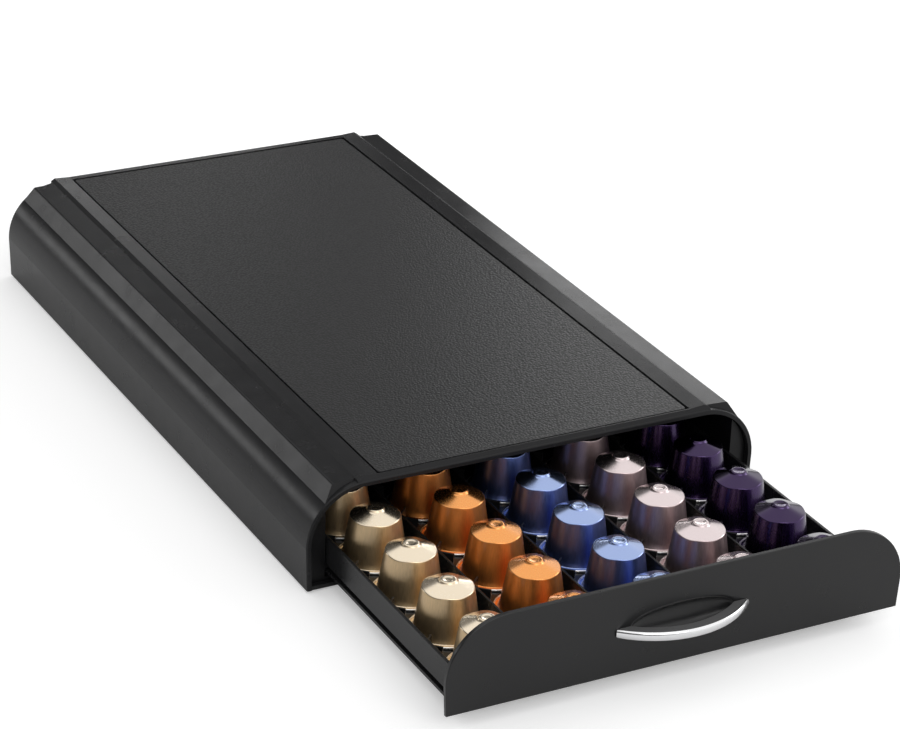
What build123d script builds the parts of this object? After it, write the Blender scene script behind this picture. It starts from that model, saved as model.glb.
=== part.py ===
from build123d import *
import os
from math import sqrt

# Low housing with one sliding drawer that holds coffee capsules in lanes.
# Millimetres. +Z is up, +X is right seen from the front, +Y is the back.
# Depths are laid out from the housing's front lip, then everything moves so that
# the origin is the middle of the whole object's footprint, on the ground.

# Capsules, which stand rim down
rim_radius = 18.5
rim_height = 1.3
rim_roll = 1.2
rim_width = 2.2
collar_step = 1.2
collar_height = 1.8
body_taper = 2.8
shoulder_drop = 3.7
nub_radius = 4.35
nub_height = 0.9
nub_rounding = 0.3
nub_lip = 1.45
dimple_depth = 0.8
capsule_height = 26.6
cup_wall = 0.6
lid_thickness = 0.35
lid_gap = 0.15

# Lanes and rows
finishes = ["gold", "orange", "blue", "brown", "purple"]
row_count = 10
loaded_rows = 5
lane_gap = 7.8
row_gap = 0.4
front_gap = 0.4
back_gap = 1.0
side_gap = 2.4

# Dividers between the lanes, with diagonal ribs between neighbouring rims
divider_thickness = 1.2
divider_height = 9.8
diagonal_thickness = 1.0
diagonal_height = 7.8
diagonal_rim_gap = 1.0
rib_edge_round = 0.3

# Drawer tray
tray_wall = 1.8
tray_wall_height = 12.0
tray_edge_round = 0.4
tray_floor = 2.0
groove_height = 2.8
groove_depth = 2.4
lower_lip = 1.6
stop_block = 4.0

# Drawer front
front_thickness = 2.2
front_side_gap = 3.6
front_lean = 0.9
front_radius = 30.0
front_top_drop = 0.2
front_bottom_lift = 0.2
front_edge_round = 0.5
shelf_side_gap = 10.1
shelf_depth = 12.0
shelf_thickness = 2.4

# Finger recess and bowed handle
recess_height = 7.8
recess_sink = 6.0
recess_depth = 4.6
recess_wall = 1.6
recess_edge_round = 2.2
bow_half_width = 36.0
bow_reach = 14.6
bow_end_width = 8.7
bow_middle_width = 5.8
bow_height = 4.2
bow_rise = 22.2
trim_thickness = 1.7
trim_overhang = 0.15
trim_round = 0.7

# Housing shell
shell_side_space = 9.6
shell_lean = 0.8
shell_rear_space = 26.6
shell_radius = 30.0
shell_height = 52.8
shell_wall = 2.4
lip_round = 0.8

# Ridge on each shoulder and raised border of the top
ridge_foot_inset = 9.4
ridge_foot_drop = 8.4
ridge_crest_inset = 14.9
ridge_crest_drop = -0.3
ridge_crest_round = 1.4
ridge_foot_setback = 0.9
ridge_crest_setback = 4.3
border_width = 9.0
border_inner_drop = 0.5
border_slope = 2.2
border_slope_rise = 1.3
border_foot_rise = 0.8
border_front_slope = 1.6

# Mat in its pocket
mat_half_width = 85.2
mat_thickness = 1.4
mat_front = 4.2
mat_corner = 1.5
mat_gap = 1.2
mat_sink = 0.2
pocket_back_border = 3.9

# Base plate, feet and rear panel
foot_proud = 1.2
foot_radius = 7.0
foot_thickness = 2.0
foot_rounding = 0.4
foot_inset_x = 27.4
foot_inset_y = 22.0
foot_rows = 3
base_thickness = 2.0
base_setback = 0.5
seat_gap = 0.2
rear_panel_thickness = 2.2
rear_panel_setback = 1.0

# Runners
tray_lift = 4.6
runner_gap = 0.5
runner_wall = 1.8
runner_front = 3.5
runner_back_gap = 16.0
runner_flange = 8.0
runner_flange_thickness = 2.0
rib_gap = 0.3
end_plate_gap = 0.4

# Drawer travel: from shut to its stop, and how far it stands open
drawer_travel = 283.0
drawer_open = 133.1
closed_gap = 0.4

# Tray glides
glide_length = 12.0
glide_width = 4.0
glide_gap = 0.3
glide_setback = 3.0
glide_peg_radius = 1.2

# Screws
screw_radius = 1.5
screw_head_radius = 2.6
screw_head_height = 1.3
boss_height = 16.0
boss_runner_gap = 0.4
boss_web = 3.0
rear_boss_length = 13.0
rear_boss_radius = 3.2
rear_screw_middle_x = 40.0
rear_screw_inset = 28.2
rear_boss_drop = 4.6
screw_bite = 6.0
runner_screw_inset_y = 44.0
front_screw_middle_x = 30.0
front_screw_inset = 12.0
front_screw_bite = 1.4
handle_screw_radius = 1.1
handle_screw_head_radius = 2.1
handle_screw_head_height = 1.2
handle_screw_bite = 2.2
handle_screw_inset = 2.0

# Capsule radii
collar_radius = rim_radius - rim_width
body_radius = collar_radius - collar_step
shoulder_radius = body_radius - body_taper
dimple_radius = nub_radius - nub_lip

# Heights
base_top = foot_proud + base_thickness
tray_bottom = base_top + tray_lift
floor_top = tray_bottom + lower_lip + groove_height + tray_floor
floor_bottom = floor_top - tray_floor
groove_bottom = tray_bottom + lower_lip
lip_top = foot_proud + shell_height
ceiling = lip_top - shell_wall
ridge_foot_z = lip_top - ridge_foot_drop
ridge_crest_z = lip_top - ridge_crest_drop
border_foot_z = lip_top + border_foot_rise
border_knee_z = border_foot_z + border_slope_rise
border_top = border_knee_z - border_inner_drop
mat_top = border_top - mat_sink
mat_bottom = mat_top - mat_thickness
front_bottom = tray_bottom + front_bottom_lift
bow_center_z = front_bottom + bow_rise

# Lanes across and rows along
lane_pitch = 2 * rim_radius + lane_gap
row_pitch = 2 * rim_radius + row_gap
lane_count = len(finishes)
lane_xs = [(lane - (lane_count - 1) / 2) * lane_pitch for lane in range(lane_count)]
divider_xs = [(left + right) / 2 for left, right in zip(lane_xs, lane_xs[1:])]

# The drawer front's inner face, and the tray behind it
front_inner_y = -closed_gap - drawer_open
front_outer_y = front_inner_y - front_thickness
row_ys = [front_inner_y + front_gap + rim_radius + row * row_pitch for row in range(row_count)]
boundary_ys = [(near + far) / 2 for near, far in zip(row_ys, row_ys[1:])]
tray_inner_half = lane_xs[-1] + rim_radius + side_gap
tray_half = tray_inner_half + tray_wall
tray_inner_back_y = row_ys[-1] + rim_radius + back_gap
tray_back_y = tray_inner_back_y + tray_wall
groove_half = tray_half - groove_depth
stop_block_y = tray_back_y - stop_block

# The runners' upright face, and the rib that ends where the stop block meets it
runner_inner_x = tray_half + runner_gap
runner_outer_x = runner_inner_x + runner_wall
rib_back_y = stop_block_y + drawer_open - drawer_travel - rib_gap

# The shell round the runners, long enough for the shut drawer
shell_half_width = runner_outer_x + shell_side_space
shell_base_half_width = shell_half_width - shell_lean
shell_inner_half = shell_base_half_width - shell_wall
shell_depth = tray_back_y + drawer_open + shell_rear_space
runner_back_y = shell_depth - runner_back_gap
rear_panel_y = shell_depth - rear_panel_setback - rear_panel_thickness
pocket_half = mat_half_width + mat_gap
border_knee_x = pocket_half + border_width
border_foot_x = border_knee_x + border_slope
ridge_foot_x = shell_half_width - ridge_foot_inset
ridge_crest_x = shell_half_width - ridge_crest_inset

# The screws in the shell, and the front, its shelf and its handle
boss_radius = (shell_inner_half - runner_outer_x - boss_runner_gap) / 2
boss_x = shell_inner_half - boss_radius
fixing_ys = [foot_inset_y, shell_depth / 2, shell_depth - foot_inset_y]
rear_screw_xs = [rear_screw_middle_x, shell_half_width - rear_screw_inset]
front_half_width = shell_half_width - front_side_gap
front_base_half_width = front_half_width - front_lean
shelf_half_width = groove_half - tray_wall - shelf_side_gap
front_screw_xs = [front_screw_middle_x, shelf_half_width - front_screw_inset]
bow_inner_half_width = bow_half_width - bow_end_width
bow_inner_reach = bow_reach - bow_middle_width
recess_half_width = bow_inner_half_width
handle_screw_x = bow_inner_half_width + handle_screw_inset

# The whole object's middle, which becomes the origin
origin_y = (front_outer_y - bow_reach + shell_depth) / 2


def block(x0, x1, y0, y1, z0, z1):
    """A box between two corners."""
    middle = Pos((x0 + x1) / 2, (y0 + y1) / 2, (z0 + z1) / 2)
    return middle * Box(abs(x1 - x0), abs(y1 - y0), abs(z1 - z0))


def prism(outline, y0, y1):
    """A flat outline, drawn across and up, pushed from y0 back to y1."""
    return extrude(Plane.XZ.offset(-y0) * outline, amount=-(y1 - y0))


def side_prism(outline, x0, x1):
    """A flat outline, drawn back and up, pushed from x0 across to x1."""
    return extrude(Plane.YZ.offset(x0) * outline, amount=x1 - x0)


def plate(outline, z0, z1):
    """A flat outline, seen from above, pushed from z0 up to z1."""
    return extrude(Plane.XY.offset(z0) * outline, amount=z1 - z0)


def both_sides(shape):
    """A shape and its mirror image on the other side, as one list."""
    return [shape, mirror(shape, about=Plane.YZ)]


def rod(radius, x, y, z, length, direction=(0, 0, 1)):
    """A cylinder that starts at a point and runs along a direction."""
    start = Plane(origin=(x, y, z), z_dir=direction)
    return extrude(start * Circle(radius), amount=length)


def arch_outline(half, base_half, base_z, top_z, radius):
    """Sides that lean out a little, round shoulders and a flat top."""
    spring_z = top_z - radius
    flat = half - radius
    edges = [
        Line((-base_half, base_z), (base_half, base_z)),
        Line((base_half, base_z), (half, spring_z)),
        CenterArc((flat, spring_z), radius, 0, 90),
        Line((flat, top_z), (-flat, top_z)),
        CenterArc((-flat, spring_z), radius, 90, 90),
        Line((-half, spring_z), (-base_half, base_z)),
    ]
    return make_face(edges)


def shell_cavity_outline(gap):
    """The space inside the shell's walls, less a gap all round."""
    inset = shell_wall + gap
    return arch_outline(shell_half_width - inset, shell_base_half_width - inset,
                        0, lip_top - inset, shell_radius - inset)


def flat_screw(x, y, z, length, direction, radius=screw_radius,
               head_radius=screw_head_radius, head_height=screw_head_height):
    """A countersunk screw: its head's flat face at a point, its shank along a direction."""
    start = Plane(origin=(x, y, z), z_dir=direction)
    head = loft([start * Circle(head_radius), start.offset(head_height) * Circle(radius)])
    return head + extrude(start * Circle(radius), amount=length)


def ridge():
    """The right shoulder's ridge, with both its ends sloped."""
    outline = Polyline(
        (ridge_foot_x, ridge_foot_z),
        (ridge_crest_x, ridge_crest_z),
        (border_foot_x, border_foot_z),
        (border_foot_x, ceiling),
        (border_foot_x + shell_wall, ceiling),
        (ridge_foot_x - shell_wall, ridge_foot_z - shell_wall),
        close=True)
    back_end = shell_depth - ridge_foot_setback
    body = prism(make_face(outline), ridge_foot_setback, back_end)
    crest = body.edges().filter_by(Axis.Y).sort_by(
        lambda edge: abs(edge.center().X - ridge_crest_x) + abs(edge.center().Z - ridge_crest_z))[0]
    body = fillet(crest, ridge_crest_round)
    rise = ridge_crest_z - ridge_foot_z
    run = ridge_crest_setback - ridge_foot_setback
    above = Polyline(
        (ridge_foot_setback, ridge_foot_z),
        (ridge_foot_setback + 2 * run, ridge_foot_z + 2 * rise),
        (ridge_foot_setback - run, ridge_foot_z + 2 * rise),
        (ridge_foot_setback - run, ridge_foot_z),
        close=True)
    past_back = Polyline(
        (back_end, ridge_foot_z),
        (back_end - 2 * run, ridge_foot_z + 2 * rise),
        (back_end + run, ridge_foot_z + 2 * rise),
        (back_end + run, ridge_foot_z),
        close=True)
    for end in (above, past_back):
        body -= side_prism(make_face(end), border_foot_x - shell_wall, ridge_foot_x + shell_wall)
    return body


def raised_border():
    """The low plateau that frames the mat, sloped at its sides and its front."""
    outline = Polyline(
        (-border_foot_x, ceiling), (border_foot_x, ceiling),
        (border_foot_x, border_foot_z), (border_knee_x, border_knee_z),
        (pocket_half, border_top), (-pocket_half, border_top),
        (-border_knee_x, border_knee_z), (-border_foot_x, border_foot_z),
        close=True)
    body = prism(make_face(outline), lip_round, shell_depth)
    above = Polyline(
        (lip_round, lip_top), (lip_round + border_front_slope, border_top),
        (lip_round + 2 * border_front_slope, 2 * border_top - lip_top),
        (0, 2 * border_top - lip_top), (0, lip_top),
        close=True)
    return body - side_prism(make_face(above), -shell_half_width, shell_half_width)


def side_bosses():
    """Three screw posts inside the right wall, each tied to the wall by a web."""
    posts = []
    for y in fixing_ys:
        posts.append(rod(boss_radius, boss_x, y, base_top, boss_height))
        posts.append(block(boss_x, shell_inner_half + shell_wall / 2, y - boss_web / 2,
                           y + boss_web / 2, base_top, base_top + boss_height))
    return posts


def rear_bosses():
    """Posts under the ceiling that the rear panel is screwed to."""
    z = ceiling - rear_boss_drop
    y = rear_panel_y - rear_boss_length
    posts = []
    for x in rear_screw_xs:
        posts.append(rod(rear_boss_radius, x, y, z, rear_boss_length, (0, 1, 0)))
        posts.append(block(x - boss_web / 2, x + boss_web / 2, y, rear_panel_y, z,
                           ceiling + shell_wall / 2))
    return posts


def housing_shell():
    """The arch moulding: ridges, raised border, mat pocket and screw posts."""
    arch = prism(arch_outline(shell_half_width, shell_base_half_width, foot_proud,
                              lip_top, shell_radius), 0, shell_depth)
    rim = arch.faces().filter_by(Axis.Y).edges().filter_by(lambda edge: edge.center().Z > base_top)
    body = fillet(rim, lip_round)
    body = body + both_sides(ridge()) + [raised_border()]
    body -= block(-pocket_half, pocket_half, mat_front - mat_gap,
                  shell_depth - pocket_back_border, mat_bottom, border_top + shell_wall)
    body -= prism(shell_cavity_outline(0), -lip_round, shell_depth + lip_round)
    posts = []
    for post in side_bosses() + rear_bosses():
        posts += both_sides(post)
    body += posts
    holes = [rod(screw_radius, boss_x, y, 0, base_top + screw_bite) for y in fixing_ys]
    z = ceiling - rear_boss_drop
    holes += [rod(screw_radius, x, rear_panel_y - screw_bite, z, screw_bite, (0, 1, 0))
              for x in rear_screw_xs]
    for hole in holes:
        body -= both_sides(hole)
    return body


def top_mat():
    """The grained panel that lies in the top's pocket."""
    back = shell_depth - pocket_back_border - mat_gap
    body = block(-mat_half_width, mat_half_width, mat_front, back, mat_bottom, mat_top)
    body = fillet(body.edges().filter_by(Axis.Z), mat_corner)
    return fillet(body.faces().sort_by(Axis.Z)[-1].edges(), mat_sink)


def rear_panel():
    """Closes the back of the arch, on the base plate."""
    panel = prism(shell_cavity_outline(seat_gap), rear_panel_y,
                  rear_panel_y + rear_panel_thickness)
    panel -= block(-shell_half_width, shell_half_width, 0, shell_depth, 0, base_top)
    return panel - rear_screws()


def rear_screws():
    """Four screws that hold the rear panel to the shell's posts."""
    z = ceiling - rear_boss_drop
    back = rear_panel_y + rear_panel_thickness
    screws = []
    for x in rear_screw_xs:
        screws += both_sides(flat_screw(x, back, z, rear_panel_thickness + screw_bite, (0, -1, 0)))
    return screws


def foot_places():
    """Where the feet stand: pairs near the front, the middle and the back."""
    x = shell_inner_half - foot_inset_x
    span = shell_depth - 2 * foot_inset_y
    return [(side * x, foot_inset_y + row * span / (foot_rows - 1))
            for row in range(foot_rows) for side in (-1, 1)]


def runner_screw_places():
    """Where the runners are screwed down, on the right side."""
    x = runner_inner_x - runner_flange / 2
    ys = (runner_screw_inset_y, shell_depth / 2, shell_depth - runner_screw_inset_y)
    return [(x, y) for y in ys]


def base_screws():
    """Screws up through the base plate into the shell's posts."""
    screws = []
    for y in fixing_ys:
        screws += both_sides(flat_screw(boss_x, y, foot_proud, base_thickness + screw_bite,
                                        (0, 0, 1)))
    return screws


def runner_screws():
    """Screws up through the base plate into the runners' flanges."""
    screws = []
    for x, y in runner_screw_places():
        screws += both_sides(flat_screw(x, y, foot_proud,
                                        base_thickness + runner_flange_thickness, (0, 0, 1)))
    return screws


def base_plate():
    """The floor of the housing, with sockets for the feet and the screws."""
    half = shell_inner_half - seat_gap
    body = block(-half, half, base_setback, rear_panel_y + rear_panel_thickness,
                 foot_proud, base_top)
    sockets = [rod(foot_radius, x, y, 0, foot_thickness) for x, y in foot_places()]
    return body - sockets - base_screws() - runner_screws()


def rubber_feet():
    """Round pads let into the base plate."""
    feet = []
    for x, y in foot_places():
        pad = rod(foot_radius, x, y, 0, foot_thickness)
        feet.append(fillet(pad.faces().sort_by(Axis.Z)[0].edges(), foot_rounding))
    return feet


def right_runner():
    """Upright guide with a short rib for the tray's groove and a plate across the front."""
    inside = shell_cavity_outline(end_plate_gap)
    room = prism(inside, runner_front, runner_back_y)
    web = block(runner_inner_x, runner_outer_x, runner_front, runner_back_y, base_top, ceiling) & room
    end = block(runner_inner_x, shell_half_width, runner_front, runner_front + runner_wall,
                base_top, ceiling) & room
    flange = block(runner_inner_x - runner_flange, runner_outer_x, runner_front, runner_back_y,
                   base_top, base_top + runner_flange_thickness)
    rib = block(groove_half + rib_gap, runner_outer_x, runner_front, rib_back_y,
                groove_bottom + rib_gap, floor_bottom - rib_gap)
    body = web + end + flange + rib
    return body - runner_screws()[::2]


def top_edges(body, direction):
    """The edges along one direction at the top of a plain bar."""
    return body.edges().filter_by(direction).group_by(Axis.Z)[-1]


def drawer_tray():
    """Floor, thin side walls over a running groove, a lower lip and a back wall."""
    body = block(-tray_half, tray_half, front_inner_y, tray_back_y, floor_bottom, floor_top)
    skirt_inner = groove_half - tray_wall
    wall = block(tray_inner_half, tray_half, front_inner_y, tray_back_y,
                 floor_bottom, floor_top + tray_wall_height)
    right = [
        fillet(top_edges(wall, Axis.Y), tray_edge_round),
        block(skirt_inner, groove_half, front_inner_y, tray_back_y, tray_bottom, floor_top),
        block(skirt_inner, tray_half, front_inner_y, tray_back_y, tray_bottom, groove_bottom),
        block(skirt_inner, tray_half, stop_block_y, tray_back_y, tray_bottom, floor_top),
    ]
    for piece in right:
        body += both_sides(piece)
    body += block(-tray_half, tray_half, tray_inner_back_y, tray_back_y,
                  tray_bottom, floor_top + tray_wall_height)
    body -= front_screws() + [glide_peg(1), glide_peg(-1)]
    return body


def diagonal_reach(across):
    """How far a diagonal rib goes, from a point between two rows, before it meets a rim."""
    along = row_pitch / 2
    toward = (across + along) / sqrt(2)
    to_rim = toward - sqrt(toward ** 2 - across ** 2 - along ** 2 + rim_radius ** 2)
    return to_rim - diagonal_rim_gap


def diagonal_bar(x, y, turn, reach):
    """One diagonal rib that crosses a point between two rows."""
    bar = Box(2 * reach, diagonal_thickness, diagonal_height)
    bar = fillet(top_edges(bar, Axis.X), rib_edge_round)
    return Pos(x, y, floor_top + diagonal_height / 2) * Rot(0, 0, turn) * bar


def lane_divider(x):
    """One long rib with crossed diagonal ribs between the rims on both sides."""
    body = block(x - divider_thickness / 2, x + divider_thickness / 2, front_inner_y,
                 tray_inner_back_y, floor_top, floor_top + divider_height)
    body = fillet(top_edges(body, Axis.Y), rib_edge_round)
    reach = diagonal_reach(lane_pitch / 2)
    return body + [diagonal_bar(x, y, turn, reach) for y in boundary_ys for turn in (45, -45)]


def wall_cleats():
    """Short V ribs on the right side wall, between the rims of its lane."""
    reach = diagonal_reach(side_gap + rim_radius)
    room = block(0, tray_inner_half, front_inner_y, tray_back_y, floor_top,
                 floor_top + diagonal_height)
    cleats = []
    for y in boundary_ys:
        for turn in (45, -45):
            cleats.append(diagonal_bar(tray_inner_half, y, turn, reach) & room)
    return cleats


def front_outline(inset=0):
    """Outline of the drawer front: the arch form, with its own sizes."""
    return arch_outline(front_half_width - inset, front_base_half_width - inset,
                        front_bottom + inset, lip_top - front_top_drop - inset,
                        front_radius - inset)


def recess_form(extra):
    """An ellipsoid on the front's outer face, from behind the bow upwards, grown by a wall."""
    half_height = (recess_height + recess_sink) / 2
    ball = scale(Sphere(1), by=(recess_half_width + extra, recess_depth + extra,
                                half_height + extra))
    return Pos(0, front_outer_y, bow_center_z + half_height - recess_sink) * ball


def front_screws():
    """Short screws up through the front's shelf into the tray's floor."""
    y = front_inner_y + shelf_depth / 2
    z = floor_bottom - shelf_thickness
    length = shelf_thickness + front_screw_bite
    screws = []
    for x in front_screw_xs:
        screws += both_sides(flat_screw(x, y, z, length, (0, 0, 1)))
    return screws


def handle_screws():
    """Pan-head screws from inside the drawer into the ends of the bow."""
    screws = []
    for side in (-1, 1):
        x = side * handle_screw_x
        head = rod(handle_screw_head_radius, x, front_inner_y, bow_center_z,
                   handle_screw_head_height, (0, 1, 0))
        head = fillet(head.faces().sort_by(Axis.Y)[-1].edges(), handle_screw_head_height / 2)
        length = front_thickness + handle_screw_bite
        shank = rod(handle_screw_radius, x, front_outer_y - handle_screw_bite, bow_center_z,
                    length, (0, 1, 0))
        screws.append(head + shank)
    return screws


def drawer_front():
    """Arched front with a scooped finger recess and a shelf under the tray's floor."""
    body = prism(front_outline(), front_outer_y, front_inner_y)
    rim = body.faces().sort_by(Axis.Y)[0].edges()
    body = fillet(rim, front_edge_round)
    behind = block(-front_half_width, front_half_width, front_outer_y + front_thickness / 2,
                   front_inner_y + front_half_width, 0, lip_top)
    body += recess_form(recess_wall) & behind
    body -= recess_form(0)
    mouth = body.faces().sort_by(Axis.Y)[0].inner_wires()[0].edges()
    body = fillet(mouth, recess_edge_round)
    body += block(-shelf_half_width, shelf_half_width, front_inner_y - front_thickness / 2,
                  front_inner_y + shelf_depth, floor_bottom - shelf_thickness, floor_bottom)
    return body - front_screws() - handle_screws()


def bow_segment(half, reach, z0, z1):
    """A flat piece between a straight chord on the front's face and a bow."""
    face_y = front_outer_y
    edges = [Line((-half, face_y), (half, face_y)),
             ThreePointArc((half, face_y), (0, face_y - reach), (-half, face_y))]
    return plate(make_face(edges), z0, z1)


def handle_grip():
    """The dark bow that fingers pull on."""
    z0 = bow_center_z - bow_height / 2
    z1 = bow_center_z + bow_height / 2
    outer = bow_segment(bow_half_width - trim_thickness, bow_reach - trim_thickness, z0, z1)
    inner = bow_segment(bow_inner_half_width, bow_inner_reach, z0, z1)
    return outer - inner - handle_screws()


def handle_trim():
    """The bright strip round the outside of the bow, with rounded edges."""
    z0 = bow_center_z - bow_height / 2 - trim_overhang
    z1 = bow_center_z + bow_height / 2 + trim_overhang
    strip = bow_segment(bow_half_width, bow_reach, z0, z1)
    strip -= bow_segment(bow_half_width - trim_thickness, bow_reach - trim_thickness, z0, z1)
    outside = strip.edges().filter_by(GeomType.CIRCLE).sort_by(SortBy.LENGTH)[-2:]
    return fillet(outside, trim_round)


def glide_place(side):
    """Centre of a tray glide, under the tray's lower lip."""
    x = side * (groove_half - tray_wall + glide_width / 2)
    return x, tray_back_y - glide_setback - glide_length / 2


def glide_peg(side):
    """The peg that holds a glide in the tray's lower lip."""
    x, y = glide_place(side)
    return rod(glide_peg_radius, x, y, tray_bottom, lower_lip)


def tray_glides():
    """Low pads under the tray's rear corners that ride on the runners' flanges."""
    bottom = base_top + runner_flange_thickness + glide_gap
    glides = []
    for side in (-1, 1):
        x, y = glide_place(side)
        pad = block(x - glide_width / 2, x + glide_width / 2, y - glide_length / 2,
                    y + glide_length / 2, bottom, tray_bottom)
        pad = chamfer(pad.faces().sort_by(Axis.Z)[0].edges(), glide_gap)
        glides.append(pad + glide_peg(side))
    return glides


def cup_inside(shoulder_z, cone_z):
    """The hollow under a cup's wall, from its open end up to its cone."""
    outline = Polyline(
        (0, 0),
        (body_radius - cup_wall, 0),
        (shoulder_radius - cup_wall, shoulder_z - cup_wall),
        (nub_radius - cup_wall, cone_z - cup_wall),
        (0, cone_z - cup_wall),
        close=True)
    return revolve(Plane.XZ * make_face(outline), Axis.Z)


def capsule_cup():
    """One capsule without its lid: rolled rim, collar, tapering body, cone and nub."""
    shoulder_z = capsule_height - shoulder_drop
    cone_z = capsule_height - nub_height
    step = rim_height + collar_height
    outline = Polyline(
        (0, lid_thickness),
        (rim_radius - rim_roll, lid_thickness),
        (rim_radius - rim_roll, 0),
        (rim_radius, 0),
        (rim_radius, rim_height),
        (collar_radius, rim_height),
        (collar_radius, step),
        (body_radius, step + collar_radius - body_radius),
        (shoulder_radius, shoulder_z),
        (nub_radius, cone_z),
        (nub_radius, capsule_height),
        (dimple_radius, capsule_height),
        (dimple_radius - dimple_depth / 2, capsule_height - dimple_depth),
        (0, capsule_height - dimple_depth),
        close=True)
    solid = revolve(Plane.XZ * make_face(outline), Axis.Z)
    nub_edges = solid.edges().filter_by(GeomType.CIRCLE).filter_by(
        lambda edge: abs(edge.radius - nub_radius) < nub_rounding and edge.center().Z > cone_z)
    return fillet(nub_edges, nub_rounding) - cup_inside(shoulder_z, cone_z)


def capsule_lid():
    """The foil disc inside the rolled rim."""
    return rod(rim_radius - rim_roll - lid_gap, 0, 0, 0, lid_thickness)


def in_lane(solid, x):
    """A copy of a solid at every loaded place of one lane."""
    return [Pos(x, y, floor_top) * solid for y in row_ys[:loaded_rows]]


def all_nodes():
    """Every node's name and its solids."""
    runner = right_runner()
    nodes = {
        "housing_shell": [housing_shell()],
        "top_mat": [top_mat()],
        "rear_panel": [rear_panel()],
        "rear_screws": rear_screws(),
        "base_plate": [base_plate()],
        "base_screws": base_screws(),
        "rubber_feet": rubber_feet(),
        "right_runner": [runner],
        "left_runner": [mirror(runner, about=Plane.YZ)],
        "runner_screws": runner_screws(),
    }
    tray = drawer_tray()
    for cleat in wall_cleats():
        tray += both_sides(cleat)
    nodes["drawer_tray"] = [tray]
    nodes["lane_dividers"] = [lane_divider(x) for x in divider_xs]
    nodes["tray_glides"] = tray_glides()
    nodes["drawer_front"] = [drawer_front()]
    nodes["front_screws"] = front_screws()
    nodes["handle_grip"] = [handle_grip()]
    nodes["handle_trim"] = [handle_trim()]
    nodes["handle_screws"] = handle_screws()
    cup = capsule_cup()
    lids = []
    for finish, x in zip(finishes, lane_xs):
        nodes["capsule_cups_" + finish] = in_lane(cup, x)
        lids += in_lane(capsule_lid(), x)
    nodes["capsule_lids"] = lids
    return nodes


def write_node(name, pieces):
    """Move a node's solids to the object's origin and write one STEP file."""
    solids = [solid for piece in pieces for solid in piece.solids()]
    whole = Compound(children=[Pos(0, -origin_y, 0) * solid for solid in solids])
    whole.label = name
    export_step(whole if len(solids) > 1 else Pos(0, -origin_y, 0) * solids[0],
                "parts/" + name + ".step")


os.makedirs("parts", exist_ok=True)
for name, pieces in all_nodes().items():
    write_node(name, pieces)
print("lane pitch", lane_pitch, "row pitch", row_pitch, "origin at y", round(origin_y, 3))
print("front outer face", round(front_outer_y, 3), "tray back", round(tray_back_y, 3))
print("rib ends at", round(rib_back_y, 3), "floor top", round(floor_top, 3))
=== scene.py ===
# %% [markdown]
# A capsule drawer, dressed for the camera
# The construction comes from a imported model: a low arched housing, a tray that slides in it,
# lanes, a front with a bowed handle and twenty-five standing capsules. This lesson loads that
# model as a fixed frame, keeps the moulded parts whose shape is right, and gives each of them a
# finish. It then models by hand what a catalogue photo shows close up: the deep-drawn capsules
# and the bright handle strip. Lengths are metres and +Z is up.

# %% Load the frame
import math
import bmesh
import bpy
from mathutils import Matrix, Vector


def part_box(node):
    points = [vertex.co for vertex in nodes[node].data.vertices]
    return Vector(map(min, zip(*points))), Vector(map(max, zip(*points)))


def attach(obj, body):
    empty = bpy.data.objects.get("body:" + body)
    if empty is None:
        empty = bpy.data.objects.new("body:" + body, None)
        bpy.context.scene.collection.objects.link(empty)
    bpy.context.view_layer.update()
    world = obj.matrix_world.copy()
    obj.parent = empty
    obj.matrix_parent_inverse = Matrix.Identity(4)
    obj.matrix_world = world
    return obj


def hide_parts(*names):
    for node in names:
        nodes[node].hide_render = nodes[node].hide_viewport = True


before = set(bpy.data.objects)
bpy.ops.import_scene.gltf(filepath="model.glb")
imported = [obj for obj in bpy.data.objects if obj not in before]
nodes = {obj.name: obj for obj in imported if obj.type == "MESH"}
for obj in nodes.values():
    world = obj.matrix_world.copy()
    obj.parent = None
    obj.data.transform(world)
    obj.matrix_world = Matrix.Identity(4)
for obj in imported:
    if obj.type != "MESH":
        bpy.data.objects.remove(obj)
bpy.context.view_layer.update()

MM = 0.001
MICRON = 0.000001

# %% [markdown]
# The camera
# The picture was taken from the front left and above, with a long lens. The place of the camera
# was worked out from the capsules, which stand on a regular grid, so it is given here in real
# metres. A camera looks along its own -Z, so its matrix has three columns that say how it is
# turned: right, up and backwards. The fourth is its place.

# %% Place the camera
image_width = 900
focal_pixels = 3108.6
sensor_width = 36.0
nearest_shown, farthest_shown = 0.05, 50
camera_place = Vector((-0.6783, -1.2841, 0.7375))
camera_turn = math.radians(-28.44)
camera_rise = math.radians(25.58)
camera_roll = math.radians(2.23)

backwards = Vector((math.sin(camera_turn) * math.cos(camera_rise),
                    -math.cos(camera_turn) * math.cos(camera_rise),
                    math.sin(camera_rise)))
level_right = (-backwards).cross(Vector((0, 0, 1))).normalized()
level_up = level_right.cross(-backwards)
right = math.cos(camera_roll) * level_right + math.sin(camera_roll) * level_up
up = math.cos(camera_roll) * level_up - math.sin(camera_roll) * level_right

camera_data = bpy.data.cameras.new("camera")
camera_data.lens = focal_pixels / image_width * sensor_width
camera_data.sensor_width = sensor_width
camera_data.clip_start = nearest_shown
camera_data.clip_end = farthest_shown
camera = bpy.data.objects.new("camera", camera_data)
bpy.context.collection.objects.link(camera)
camera.matrix_world = Matrix((
    (right.x, up.x, backwards.x, camera_place.x),
    (right.y, up.y, backwards.y, camera_place.y),
    (right.z, up.z, backwards.z, camera_place.z),
    (0, 0, 0, 1)))
bpy.context.scene.camera = camera
print("lens", round(camera_data.lens, 1), "mm")

# %% [markdown]
# Node trees
# The studio's light, the table and every finish are node trees. Two helpers keep them short to
# read: one feeds a socket, with a link or with a plain value, whichever it is handed, and one
# adds a node with its settings and feeds its inputs. Two more stand for what comes back most
# often: carrying one range of values over to another, and a product.

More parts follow.
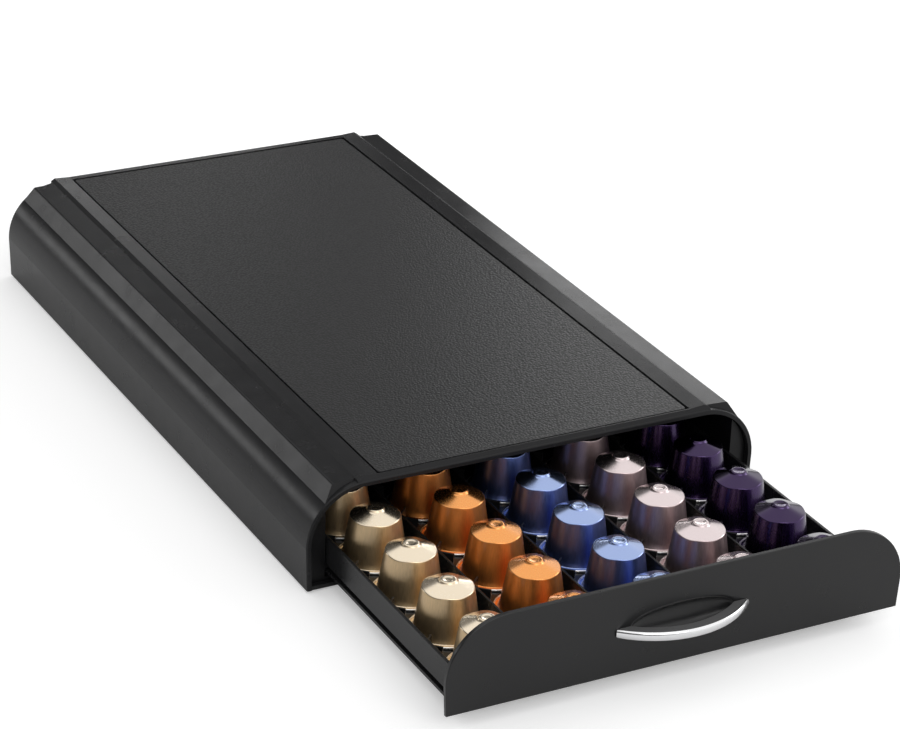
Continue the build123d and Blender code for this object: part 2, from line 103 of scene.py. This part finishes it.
# %% Helpers for node trees
def feed(tree, socket, value):
    """Links a socket to another one, or writes a value in it; a colour gets its alpha."""
    if isinstance(value, bpy.types.NodeSocket):
        tree.links.new(value, socket)
    elif socket.type == "RGBA":
        socket.default_value = (*value, 1)
    else:
        socket.default_value = value


def add_node(tree, kind, inputs, **settings):
    """A new node with its settings made and its inputs fed."""
    node = tree.nodes.new(kind)
    for name, value in settings.items():
        setattr(node, name, value)
    for name, value in inputs.items():
        feed(tree, node.inputs[name], value)
    return node


def spread(tree, value, low, high, from_low=0.3, from_high=0.7, course="LINEAR"):
    """Carries one range of values over to another, by default the one that noise keeps to."""
    node = add_node(tree, "ShaderNodeMapRange", {
        "Value": value, "From Min": from_low, "From Max": from_high,
        "To Min": low, "To Max": high}, interpolation_type=course)
    return node.outputs["Result"]


def product(tree, first, second):
    """One number times another."""
    node = add_node(tree, "ShaderNodeMath", {0: first, 1: second}, operation="MULTIPLY")
    return node.outputs[0]


print("node helpers ready")

# %% [markdown]
# Light
# Black plastic and metal are seen mostly by what they reflect. Here that is a studio: a white
# table, a bright ceiling, a bright wall on the right and dim walls elsewhere. It gives each
# capsule a light crown, one light flank and one dark one. A dark card stands behind, where the
# flat top is mirrored, and keeps the top black. The world is that room for reflections, an even
# light for everything else, and plain white to the camera, so the background is clean without
# more light on the object.

# %% World
even_light = 0.72
dim_wall = 0.10
bright_wall = 1.10
towards_bright = Vector((0.45, -0.20, 1.0))
dim_until, bright_from = 0.16, 0.48
card_direction = Vector((0.40, 0.80, 0.46)).normalized()
card_edge, card_middle = 0.935, 0.98
card_black = 0.12
plain_white = 1.0

world = bpy.data.worlds.new("studio")
bpy.context.scene.world = world
world.use_nodes = True
studio = world.node_tree
studio.nodes.clear()
direction = add_node(studio, "ShaderNodeTexCoord", {}).outputs["Generated"]


def towards(axis):
    """How far a direction turns towards an axis."""
    node = add_node(studio, "ShaderNodeVectorMath", {0: direction, 1: axis},
                    operation="DOT_PRODUCT")
    return node.outputs["Value"]


def white_light(strength):
    """A white background of one strength."""
    node = add_node(studio, "ShaderNodeBackground", {"Color": (1, 1, 1), "Strength": strength})
    return node.outputs[0]


def choose(kind_of_ray, others, these):
    """One light for one kind of ray, another for the rest."""
    node = add_node(studio, "ShaderNodeMixShader", {
        "Fac": light_path.outputs[kind_of_ray], 1: others, 2: these})
    return node.outputs[0]


light_path = add_node(studio, "ShaderNodeLightPath", {})
room = spread(studio, towards(towards_bright), dim_wall, bright_wall,
              dim_until, bright_from, "SMOOTHSTEP")
card = spread(studio, towards(card_direction), plain_white, card_black,
              card_edge, card_middle, "SMOOTHSTEP")
reflected = white_light(product(studio, room, card))
on_object = choose("Is Glossy Ray", white_light(even_light), reflected)
add_node(studio, "ShaderNodeOutputWorld", {
    "Surface": choose("Is Camera Ray", on_object, white_light(plain_white))})
print("even", even_light, "walls", dim_wall, bright_wall, "card", card_black)

# %% [markdown]
# Softboxes
# Light from all round has no shape, and gloss needs one: the long highlights on the housing and
# the shine on each capsule are softboxes, mirrored. A large one hangs in front and another on the
# right. Three low ones behind are for the black housing: one shows along the right of the top, a
# small one in the border on the left of the mat, and one in the ridge and shoulder on the left.
# Area lamps do this best, because their size sets how softly a highlight ends. The camera doesn't
# see them.

# %% Lamps
SOFTBOXES = {
    # name: its place, the point it faces, its width and depth, and its radiance
    "right_softbox": ((1.35, -0.35, 0.55), (0, -0.2, 0), 0.8, 0.6, 2.5),
    "front_softbox": ((-0.10, -1.75, 1.15), (0, -0.2, 0), 1.4, 0.7, 2.0),
    "back_right_softbox": ((0.57, 0.60, 0.34), (0.08, 0.0, 0.05), 0.30, 0.26, 3.0),
    "back_softbox": ((0.40, 1.31, 0.40), (-0.06, 0.24, 0.05), 0.26, 0.12, 3.6),
    "back_left_softbox": ((-1.45, 1.95, 0.46), (-0.1, 0, 0.05), 0.9, 0.36, 3.4),
}


def softbox(name, place, target, width, depth, radiance):
    """A rectangular lamp that faces a point; radiance 1 is as bright as plain white."""
    data = bpy.data.lights.new(name, "AREA")
    data.shape = "RECTANGLE"
    data.size = width
    data.size_y = depth
    data.energy = radiance * math.pi * width * depth
    lamp = bpy.data.objects.new(name, data)
    bpy.context.collection.objects.link(lamp)
    lamp.location = place
    lamp.rotation_mode = "QUATERNION"
    lamp.rotation_quaternion = (Vector(place) - Vector(target)).to_track_quat("Z", "Y")
    lamp.visible_camera = False
    print(name, round(data.energy, 1), "W")


for name, setting in SOFTBOXES.items():
    softbox(name, *setting)

# %% [markdown]
# Floor
# The object stands on a white table that runs out of the picture. It takes a real shadow, and a
# little light is added only where the camera looks straight at it, so that it meets the white
# background without an edge and lights nothing else.

# %% Lay the floor
floor_size = 30.0
floor_white = 0.92
floor_glow = 0.32


def clear_selection():
    """Nothing selected and nothing active, before a new piece is added."""
    for obj in bpy.context.selected_objects:
        obj.select_set(False)
    bpy.context.view_layer.objects.active = None


clear_selection()
bpy.ops.mesh.primitive_plane_add(size=floor_size, location=(0, 0, 0))
floor = bpy.context.active_object
floor.name = "floor"
floor_paint = bpy.data.materials.new("white_table")
floor_paint.use_nodes = True
tree = floor_paint.node_tree
tree.nodes.clear()
seen = add_node(tree, "ShaderNodeLightPath", {}).outputs["Is Camera Ray"]
paint = add_node(tree, "ShaderNodeBsdfDiffuse", {"Color": (floor_white,) * 3})
glow = add_node(tree, "ShaderNodeEmission", {"Strength": product(tree, seen, floor_glow)})
both = add_node(tree, "ShaderNodeAddShader", {0: paint.outputs[0], 1: glow.outputs[0]})
add_node(tree, "ShaderNodeOutputMaterial", {"Surface": both.outputs[0]})
floor.data.materials.append(floor_paint)
print("floor", floor_size, "m")

# %% [markdown]
# Finishes
# Every finish is a small node tree on Object coordinates, so nothing has to be unwrapped and the
# grain has its real size. One helper starts a material with its shader; the others are the
# patterns that all of them are made from: noise, a blend of two colours, and relief.

# %% Helpers for materials
def start_finish(name, colour, roughness, metallic=0.0, specular=0.5):
    """A new material with one Principled shader, and the Object coordinates it will read."""
    finish = bpy.data.materials.new(name)
    finish.use_nodes = True
    tree = finish.node_tree
    shader = tree.nodes["Principled BSDF"]
    feed(tree, shader.inputs["Base Color"], colour)
    feed(tree, shader.inputs["Roughness"], roughness)
    feed(tree, shader.inputs["Metallic"], metallic)
    feed(tree, shader.inputs["Specular IOR Level"], specular)
    place = add_node(tree, "ShaderNodeTexCoord", {}).outputs["Object"]
    return finish, tree, shader, place


def noise(tree, place, size, detail=2.0, stretch=(1, 1, 1)):
    """Noise whose lumps are about size metres across, stretched along an axis where wanted."""
    mapping = add_node(tree, "ShaderNodeMapping", {
        "Vector": place, "Scale": [1 / (size * share) for share in stretch]})
    texture = add_node(tree, "ShaderNodeTexNoise", {
        "Vector": mapping.outputs[0], "Scale": 1.0, "Detail": detail})
    return texture.outputs["Fac"]


def blend_colours(tree, share, first, second):
    """A colour between two, by a pattern; either may be a pattern itself."""
    node = add_node(tree, "ShaderNodeMix", {"Factor": share, "A": first, "B": second},
                    data_type="RGBA")
    return node.outputs["Result"]


def relief(tree, shader, height, depth):
    """Bump from a pattern, depth metres from its lowest to its highest."""
    bump = add_node(tree, "ShaderNodeBump", {"Distance": depth, "Height": height})
    feed(tree, shader.inputs["Normal"], bump.outputs["Normal"])


def scaled(colour, share):
    """The same hue, lighter or darker."""
    return tuple(min(1.0, part * share) for part in colour)


finishes = {}
print("material helpers ready")

# %% [markdown]
# Moulded plastic
# The housing, tray, front and base are black plastic from a mould with a fine, spark-eroded
# texture. Three things show: a soft gloss that is not quite even, a grain of a few tenths of a
# millimetre, and faint clouding of the colour. They could be painted, but three noises of
# different size give them on every part at once, at the same scale. The feet are rubber and the
# glides a pale slippery plastic, which differ only in their numbers.

# %% Make the plastics
cloud_size = 50 * MM
darkest_cloud, lightest_cloud = 0.8, 1.25
gloss_patch_size = 12 * MM
gloss_swing = 0.03
PLASTICS = {
    # finish: its colour and roughness, the size and depth of its grain, and its specular level
    "shell_plastic": ((0.017, 0.017, 0.0178), 0.25, 0.4 * MM, 8 * MICRON, 0.15),
    "front_plastic": ((0.008, 0.008, 0.0085), 0.30, 0.4 * MM, 6 * MICRON, 0.42),
    # The grip's grey is far lighter than the black plastics round it: painted light on its top.
    "grip_painted_light_plastic": ((0.11, 0.11, 0.111), 0.34, 0.4 * MM, 8 * MICRON, 0.4),
    "tray_plastic": ((0.010, 0.010, 0.0105), 0.26, 0.5 * MM, 5 * MICRON, 0.25),
    "runner_plastic": ((0.006, 0.006, 0.0065), 0.36, 0.5 * MM, 10 * MICRON, 0.25),
    "base_plastic": ((0.010, 0.010, 0.0105), 0.45, 0.6 * MM, 20 * MICRON, 0.4),
    "glide_plastic": ((0.62, 0.61, 0.57), 0.35, 0.6 * MM, 10 * MICRON, 0.4),
    "foot_rubber": ((0.018, 0.018, 0.018), 0.80, 0.5 * MM, 30 * MICRON, 0.4),
}


def moulded_plastic(name, colour, roughness, grain, grain_depth, specular):
    """Plastic with a clouded colour, an uneven gloss and a fine grain."""
    finish, tree, shader, place = start_finish(name, colour, roughness, specular=specular)
    clouds = noise(tree, place, cloud_size, detail=3.0)
    feed(tree, shader.inputs["Base Color"],
         blend_colours(tree, clouds, scaled(colour, darkest_cloud),
                       scaled(colour, lightest_cloud)))
    patches = noise(tree, place, gloss_patch_size, detail=4.0)
    feed(tree, shader.inputs["Roughness"],
         spread(tree, patches, roughness - gloss_swing, roughness + gloss_swing))
    relief(tree, shader, noise(tree, place, grain), grain_depth)
    return finish


for name, look in PLASTICS.items():
    finishes[name] = moulded_plastic(name, *look)
print("plastics", len(PLASTICS))

# %% [markdown]
# Leather grain
# The mat on top is a sheet with a pebbled grain a little over a millimetre across. Voronoi cells
# give the pebbles; the place where they are read is first nudged by noise, because real grain
# has no straight sides. Between the pebbles the surface is duller, and it is painted darker
# there:
# painted shade in the hollows of the grain.

# %% Make the mat's grain
pebble_size = 1.25 * MM
pebble_depth = 100 * MICRON
pebble_softness = 0.35
pebble_top_until, valley_from = 0.15, 0.75
wander_size = 2.2 * pebble_size
nudge = 0.6 * MM
mat_colour, mat_roughness, mat_specular = (0.010, 0.010, 0.0105), 0.36, 0.3
# The valley colour is painted shade in the hollows between the pebbles.
valley_painted_shade_colour, pebble_colour = (0.006, 0.006, 0.0065), (0.013, 0.013, 0.0135)
valley_roughness, pebble_roughness = 0.50, 0.33

finish, tree, shader, place = start_finish("mat_grain", mat_colour, mat_roughness,
                                           specular=mat_specular)
wander = add_node(tree, "ShaderNodeTexNoise", {
    "Vector": place, "Scale": 1 / wander_size, "Detail": 2.0})
nudged = add_node(tree, "ShaderNodeVectorMath", {
    0: wander.outputs["Color"], 1: (nudge, nudge, nudge), 2: place}, operation="MULTIPLY_ADD")
pebbles = add_node(tree, "ShaderNodeTexVoronoi", {
    "Vector": nudged.outputs[0], "Scale": 1 / pebble_size, "Smoothness": pebble_softness},
    feature="SMOOTH_F1")
height = spread(tree, pebbles.outputs["Distance"], 1.0, 0.0, pebble_top_until, valley_from)
feed(tree, shader.inputs["Base Color"], blend_colours(tree, height, valley_painted_shade_colour, pebble_colour))
feed(tree, shader.inputs["Roughness"],
     spread(tree, height, valley_roughness, pebble_roughness, 0.0, 1.0))
relief(tree, shader, height, pebble_depth)
finishes["mat_grain"] = finish
print("pebble", round(pebble_size / MM, 2), "mm")

# %% [markdown]
# Plain metals
# Four kinds: polished chrome on the handle, zinc-plated steel on the screws, foil on the capsule
# lids, and the bare aluminium of the capsules' rims. Each has its own fine scratches or rolling
# marks in the roughness, which is what tells them apart more than their colours do.

# %% Make the plain metals
mark_depth = 3 * MICRON
mark_smoothest, mark_roughest = 0.7, 1.4
mark_darkest = 0.93
METALS = {
    # finish: its colour and roughness, the size of its marks and the way that they stretch
    "handle_chrome": ((0.88, 0.88, 0.89), 0.07, 4.0 * MM, (1, 1, 1)),
    "screw_steel": ((0.56, 0.57, 0.58), 0.30, 0.6 * MM, (1, 1, 1)),
    "capsule_foil": ((0.84, 0.84, 0.85), 0.24, 1.2 * MM, (1, 8, 1)),
    "bare_rim": ((0.93, 0.92, 0.90), 0.30, 1.0 * MM, (1, 1, 1)),
}


def plain_metal(name, colour, roughness, mark_size, stretch):
    """Metal with fine marks in its gloss, its colour and its relief."""
    finish, tree, shader, place = start_finish(name, colour, roughness, metallic=1.0)
    marks = noise(tree, place, mark_size, detail=4.0, stretch=stretch)
    feed(tree, shader.inputs["Roughness"],
         spread(tree, marks, roughness * mark_smoothest, roughness * mark_roughest))
    feed(tree, shader.inputs["Base Color"],
         blend_colours(tree, marks, scaled(colour, mark_darkest), colour))
    relief(tree, shader, marks, mark_depth)
    return finish


for name, look in METALS.items():
    finishes[name] = plain_metal(name, *look)
print("metals", len(METALS))

# %% [markdown]
# The parts that are kept
# The moulded parts, the mat, the lids and the small hardware have their real shape in the packed
# model already, so they are kept as they are and only dressed. A table says which finish each of
# them gets; what isn't in it, the cups and the handle strip, is modelled further down.

# %% Dress the parts whose shape is right
FINISH_OF_NODE = {
    "housing_shell": "shell_plastic",
    "top_mat": "mat_grain",
    "rear_panel": "base_plastic",
    "rear_screws": "screw_steel",
    "base_plate": "base_plastic",
    "base_screws": "screw_steel",
    "rubber_feet": "foot_rubber",
    "right_runner": "runner_plastic",
    "left_runner": "runner_plastic",
    "runner_screws": "screw_steel",
    "drawer_tray": "tray_plastic",
    "lane_dividers": "tray_plastic",
    "tray_glides": "glide_plastic",
    "drawer_front": "front_plastic",
    "front_screws": "screw_steel",
    "handle_grip": "grip_painted_light_plastic",
    "handle_screws": "screw_steel",
    "capsule_lids": "capsule_foil",
}
for node_name, finish_name in FINISH_OF_NODE.items():
    mesh = nodes[node_name].data
    mesh.materials.clear()
    mesh.materials.append(finishes[finish_name])
print("dressed", len(FINISH_OF_NODE), "nodes")

# %% [markdown]
# Anodised aluminium
# A capsule is tinted aluminium with a clear lacquer. Its wall was ironed upwards by the drawing
# tool, which leaves streaks a few tenths of a millimetre wide; its cone and nub were pressed, and
# are finer and even. The same material does both: the direction of the surface tells which of the
# two looks it has, so nothing has to be painted by hand. The surfaces that look upwards also get
# a crown colour of their own, paler on four tints and darker on the purple: painted light, for
# the light that falls on them from above.

# %% Anodised finish in five tints
CAPSULE_TINTS = {
    # tint: the colour of its wall, its crown colour (painted light from above), and its roughness
    "gold": ((0.68, 0.50, 0.29), (0.80, 0.69, 0.53), 0.41),
    "orange": ((0.72, 0.27, 0.070), (0.84, 0.35, 0.10), 0.42),
    "blue": ((0.15, 0.21, 0.50), (0.33, 0.42, 0.68), 0.37),
    "brown": ((0.45, 0.34, 0.34), (0.72, 0.62, 0.62), 0.41),
    "purple": ((0.052, 0.028, 0.095), (0.034, 0.017, 0.062), 0.27),
}
streak_width = 0.6 * MM
streak_stretch = (1, 1, 40)
streak_depth = 7 * MICRON
streak_dark, streak_light = 0.78, 1.18
satin_swing = 0.04
crown_pressed_and_painted_light_from, crown_pressed_and_painted_light_whole = 0.35, 0.8
wall_until, wall_gone = 0.2, 0.7
pressed_share = 0.62
lacquer_weight, lacquer_roughness = 0.45, 0.10


def anodised(name, wall_colour, crown_painted_light_colour, roughness):
    """Brushed and tinted on the wall; even, with a painted-light crown colour, where it faces up.
    """
    finish, tree, shader, place = start_finish(name, wall_colour, roughness, metallic=1.0)
    facing = add_node(tree, "ShaderNodeNewGeometry", {}).outputs["Normal"]
    upward = add_node(tree, "ShaderNodeSeparateXYZ", {0: facing}).outputs["Z"]
    crown_pressed_and_painted_light = spread(tree, upward, 0.0, 1.0, crown_pressed_and_painted_light_from, crown_pressed_and_painted_light_whole)
    wall = spread(tree, upward, 1.0, 0.0, wall_until, wall_gone)
    streaks = noise(tree, place, streak_width, detail=4.0, stretch=streak_stretch)
    brushed = blend_colours(tree, streaks, scaled(wall_colour, streak_dark),
                            scaled(wall_colour, streak_light))
    # Painted light: the faces that look upwards take the crown colour, for the light from above.
    feed(tree, shader.inputs["Base Color"], blend_colours(tree, crown_pressed_and_painted_light, brushed, crown_painted_light_colour))
    satin = spread(tree, streaks, roughness - satin_swing, roughness + satin_swing)
    pressed = spread(tree, crown_pressed_and_painted_light, 1.0, pressed_share, 0.0, 1.0)
    feed(tree, shader.inputs["Roughness"], product(tree, satin, pressed))
    relief(tree, shader, product(tree, streaks, wall), streak_depth)
    feed(tree, shader.inputs["Coat Weight"], lacquer_weight)
    feed(tree, shader.inputs["Coat Roughness"], lacquer_roughness)
    return finish


for tint, look in CAPSULE_TINTS.items():
    finishes["capsule_" + tint] = anodised("capsule_" + tint, *look)
print("tints", list(CAPSULE_TINTS))

# %% [markdown]
# Capsules
# A capsule is one deep-drawn cup: a rolled rim of bare metal, a flange, a wall that narrows
# upwards, a softly waved shoulder, a cone and a dimpled nub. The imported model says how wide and
# how high a cup is and where it stands; the rest of its section is set here, from the rim up.

# %% Sizes of one capsule
lane_low, lane_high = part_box("capsule_cups_gold")
rim_radius = (lane_high.x - lane_low.x) / 2
cup_height = lane_high.z - lane_low.z
foil_recess = 0.35 * MM
bead_width = 0.95 * MM
bead_height = 1.3 * MM
bead_crest_share = 0.75
flange_height = 0.95 * MM
flange_inner_radius = rim_radius - 2.3 * MM
skirt_foot_radius = flange_inner_radius - 0.3 * MM
skirt_foot_height = 1.7 * MM
body_radius = rim_radius - 3.4 * MM
body_foot = 4.6 * MM
skirt_radius = body_radius + 0.35 * MM
skirt_height = 2.9 * MM
shoulder_radius = body_radius - 2.8 * MM
shoulder_height = cup_height - 3.7 * MM
nub_radius = 4.3 * MM
nub_foot = cup_height - 1.15 * MM
nub_top_radius = nub_radius - 0.45 * MM
dimple_radius = 2.5 * MM
dimple_floor_radius = dimple_radius - 0.9 * MM
dimple_depth = 0.28 * MM
cup_wall = 0.4 * MM
ring_points = 96
print("rim radius", round(rim_radius / MM, 2), "cup height", round(cup_height / MM, 2))

# %% [markdown]
# One cup, ring by ring
# The section could be spun as a profile, but a cup is easier to change when each ring has a name.
# So one ring is drawn at the bottom of the dimple and extruded from station to station: out over
# the nub, down the cone and the wall, round the rolled rim, and back up inside. The last ring and
# the first are then closed with a face each.

# %% Helpers for rings
ring_reach = 0.03 * MM


def next_ring(before, after):
    """Extrudes the selected ring to another radius and height; a station is (radius, height)."""
    bpy.ops.mesh.extrude_region_move(
        TRANSFORM_OT_translate={"value": (0, 0, after[1] - before[1])})
    ratio = after[0] / before[0]
    bpy.ops.transform.resize(value=(ratio, ratio, 1), center_override=(0, 0, after[1]))


def select_ring(obj, radius, height):
    """Selects the edges of the ring at a radius and height, in edit mode."""
    shape = bmesh.from_edit_mesh(obj.data)
    for vertex in shape.verts:
        across = Vector((vertex.co.x, vertex.co.y)).length
        vertex.select = (abs(across - radius) < ring_reach
                         and abs(vertex.co.z - height) < ring_reach)
    for edge in shape.edges:
        edge.select = edge.verts[0].select and edge.verts[1].select
    shape.select_flush_mode()
    bmesh.update_edit_mesh(obj.data)


print("a ring is found within", round(ring_reach / MM, 2), "mm")

# %% Model one cup
CUP_STATIONS = {
    # ring: its radius and its height
    "dimple_floor": (dimple_floor_radius, cup_height - dimple_depth),
    "dimple_edge": (dimple_radius, cup_height),
    "nub_top": (nub_top_radius, cup_height),
    "nub_foot": (nub_radius, nub_foot),
    "shoulder": (shoulder_radius, shoulder_height),
    "body": (body_radius, body_foot),
    "skirt": (skirt_radius, skirt_height),
    "skirt_foot": (skirt_foot_radius, skirt_foot_height),
    "flange_inner": (flange_inner_radius, flange_height),
    "bead_inner": (rim_radius - bead_width, flange_height),
    "bead_top_inner": (rim_radius - bead_crest_share * bead_width, bead_height),
    "bead_top": (rim_radius, bead_height),
    "bead_bottom": (rim_radius, 0),
    "bead_bottom_inner": (rim_radius - bead_width, 0),
    "foil_seat": (rim_radius - bead_width, foil_recess),
    "mouth": (body_radius - cup_wall, foil_recess),
    "inside_shoulder": (shoulder_radius - cup_wall, shoulder_height - cup_wall),
    "inside_top": (nub_radius - 2 * cup_wall, nub_foot - cup_wall),
}
stations = list(CUP_STATIONS.values())
first_radius, first_height = stations[0]
clear_selection()
bpy.ops.mesh.primitive_circle_add(vertices=ring_points, radius=first_radius,
                                  location=(0, 0, 0))
cup = bpy.context.active_object
cup.name = "capsule_pattern"
bpy.ops.object.mode_set(mode="EDIT")
bpy.ops.mesh.select_mode(type="EDGE")
bpy.ops.mesh.select_all(action="SELECT")
bpy.ops.transform.translate(value=(0, 0, first_height))
for before, after in zip(stations, stations[1:]):
    next_ring(before, after)
bpy.ops.mesh.edge_face_add()
select_ring(cup, first_radius, first_height)
bpy.ops.mesh.edge_face_add()
bpy.ops.mesh.select_all(action="SELECT")
bpy.ops.mesh.normals_make_consistent(inside=False)
bpy.ops.object.mode_set(mode="OBJECT")
print("cup faces", len(cup.data.polygons))

# %% [markdown]
# Soft edges and a waved shoulder
# Drawn metal has no sharp edge, so the rings where the section turns are bevelled, each with the
# radius that the tool would leave. The shoulder has six shallow waves round it. They are a cosine
# on one ring's height, put in before that ring is bevelled, so the rounding follows the waves.

# %% Round the edges
ROUNDED = {
    # ring: the radius of its rounding and the steps in it
    "dimple_floor": (0.45 * MM, 3),
    "dimple_edge": (0.50 * MM, 4),
    "nub_top": (0.55 * MM, 4),
    "nub_foot": (0.80 * MM, 4),
    "skirt": (0.60 * MM, 3),
    "skirt_foot": (0.40 * MM, 3),
    "flange_inner": (0.25 * MM, 2),
    "bead_top": (0.55 * MM, 5),
    "bead_bottom": (0.45 * MM, 3),
}
bpy.ops.object.mode_set(mode="EDIT")
for name, (radius, steps) in ROUNDED.items():
    select_ring(cup, *CUP_STATIONS[name])
    bpy.ops.mesh.bevel(offset=radius, segments=steps, affect="EDGES")
bpy.ops.object.mode_set(mode="OBJECT")
print("rounded rings", len(ROUNDED))

# %% Wave the shoulder
wave_count = 6
wave_height = 0.42 * MM
wave_turn = math.radians(-28)
shoulder_rounding, shoulder_steps = 0.55 * MM, 5

bpy.ops.object.mode_set(mode="EDIT")
select_ring(cup, *CUP_STATIONS["shoulder"])
shape = bmesh.from_edit_mesh(cup.data)
for vertex in shape.verts:
    if vertex.select:
        around = math.atan2(vertex.co.x, -vertex.co.y) - wave_turn
        vertex.co.z += wave_height * (math.cos(wave_count * around) - 1) / 2
bmesh.update_edit_mesh(cup.data)
bpy.ops.mesh.bevel(offset=shoulder_rounding, segments=shoulder_steps, affect="EDGES")
bpy.ops.object.mode_set(mode="OBJECT")
print("waves", wave_count, "cup faces", len(cup.data.polygons))

# %% [markdown]
# Two metals on one cup
# The rolled rim is bare metal and the rest is tinted. A cup has two material slots, and each face
# takes the one that its distance from the axis says. Faces that meet at less than 40 degrees are
# shaded as one smooth surface.

# %% Dress the cup
tinted_slot, bare_slot = 0, 1
bead_margin = 0.02 * MM
bead_from = rim_radius - bead_width - bead_margin
cup_smooth_below = math.radians(40)

cup.data.materials.append(finishes["capsule_gold"])
cup.data.materials.append(finishes["bare_rim"])
for polygon in cup.data.polygons:
    across = Vector((polygon.center.x, polygon.center.y)).length
    polygon.material_index = bare_slot if across > bead_from else tinted_slot
clear_selection()
cup.select_set(True)
bpy.context.view_layer.objects.active = cup
bpy.ops.object.shade_smooth_by_angle(angle=cup_smooth_below)
print("bare faces", sum(face.material_index == bare_slot for face in cup.data.polygons))

# %% [markdown]
# Twenty-five cups
# Each lane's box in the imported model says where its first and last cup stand. Every copy gets a
# mesh of its own with its place in it, so its object stays at the origin. The finish reads
# Object coordinates, which differ from cup to cup, so each gets streaks of its own.

# %% Stand the cups in their lanes
rows_per_lane = 5
for tint in CAPSULE_TINTS:
    node_name = "capsule_cups_" + tint
    low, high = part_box(node_name)
    row_pitch = (high.y - low.y - 2 * rim_radius) / (rows_per_lane - 1)
    for row in range(rows_per_lane):
        copy = bpy.data.objects.new("capsule_cup_%s_%d" % (tint, row + 1), cup.data.copy())
        bpy.context.collection.objects.link(copy)
        place = Vector(((low.x + high.x) / 2, low.y + rim_radius + row * row_pitch, low.z))
        copy.data.transform(Matrix.Translation(place))
        copy.data.materials[tinted_slot] = finishes["capsule_" + tint]
        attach(copy, "drawer")
        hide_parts(node_name)
bpy.data.objects.remove(cup)
print("cups", rows_per_lane * len(CAPSULE_TINTS), "row pitch", round(row_pitch / MM, 2))

# %% [markdown]
# Handle strip
# The bow of the handle wears a bright strip with a crowned face and softened ends. A crowned
# strip is what draws the fine dark line along the chrome, because each height on it reflects
# another height of the room. It is one oval swept along the bow, so the profile is drawn as a
# circle, pressed oval, and spun about the centre of the bow's arc.

# %% Sizes of the strip
strip_low, strip_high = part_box("handle_trim")
strip_middle = (strip_low + strip_high) / 2
strip_half_height = (strip_high.z - strip_low.z) / 2
strip_half_thickness = 1.15 * MM
half_chord = (strip_high.x - strip_low.x) / 2
bow_reach = strip_high.y - strip_low.y
bow_radius = (half_chord ** 2 + bow_reach ** 2) / (2 * bow_reach)
bow_center = Vector((strip_middle.x, strip_low.y + bow_radius, strip_middle.z))
path_radius = bow_radius - strip_half_thickness
half_sweep = math.acos((bow_radius - bow_reach) / path_radius)
profile_points = 32
sweep_steps = 72
print("bow radius", round(bow_radius / MM, 1), "half sweep", round(math.degrees(half_sweep), 1))

# %% Sweep the strip
start = bow_center + path_radius * Vector((-math.sin(half_sweep), -math.cos(half_sweep), 0))
clear_selection()
bpy.ops.mesh.primitive_circle_add(vertices=profile_points, radius=strip_half_height,
                                  location=start,
                                  rotation=(math.pi / 2, 0, math.pi / 2 - half_sweep))
strip = bpy.context.active_object
strip.name = "handle_strip"
strip.scale.x = strip_half_thickness / strip_half_height
bpy.ops.object.transform_apply(location=True, rotation=True, scale=True)
bpy.ops.object.mode_set(mode="EDIT")
bpy.ops.mesh.select_all(action="SELECT")
bpy.ops.mesh.spin(steps=sweep_steps, angle=-2 * half_sweep, center=bow_center, axis=(0, 0, 1))
bpy.ops.object.mode_set(mode="OBJECT")
xs = [vertex.co.x for vertex in strip.data.vertices]
ys = [vertex.co.y for vertex in strip.data.vertices]
print("strip x", round(min(xs) / MM, 2), round(max(xs) / MM, 2),
      "y", round(min(ys) / MM, 2), round(max(ys) / MM, 2))

# %% [markdown]
# The strip's ends
# A swept profile ends open and sharp. Each end is closed with one face, and the strip then gets
# lower over its last millimetre and a half, along a quarter of an ellipse. That is done by moving
# the vertices by their distance from the panel, because a bevel would round the end's face but
# leave it as high as the rest.

# %% Close and soften the ends
end_softening = 1.4 * MM
end_height_share = 0.78
end_allowance = 0.2 * MM
strip_smooth_below = math.radians(50)

bpy.ops.object.mode_set(mode="EDIT")
bpy.ops.mesh.select_mode(type="EDGE")
bpy.ops.mesh.select_all(action="DESELECT")
bpy.ops.mesh.select_non_manifold()
bpy.ops.mesh.edge_face_add()
bpy.ops.mesh.select_all(action="SELECT")
bpy.ops.mesh.normals_make_consistent(inside=False)
bpy.ops.object.mode_set(mode="OBJECT")
for vertex in strip.data.vertices:
    from_face = max(0.0, min(1.0, (strip_high.y - vertex.co.y) / end_softening))
    share = end_height_share + (1 - end_height_share) * math.sqrt(1 - (1 - from_face) ** 2)
    vertex.co.z = strip_middle.z + (vertex.co.z - strip_middle.z) * share
    vertex.co.y = min(vertex.co.y, strip_high.y + end_allowance)
strip.data.materials.append(finishes["handle_chrome"])
bpy.ops.object.shade_smooth_by_angle(angle=strip_smooth_below)
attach(strip, "drawer")
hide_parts("handle_trim")
print("strip faces", len(strip.data.polygons))

# %% [markdown]
# Picture settings
# The Standard view shows each colour as it is written.

# %% Finish
bpy.context.scene.view_settings.view_transform = "Standard"
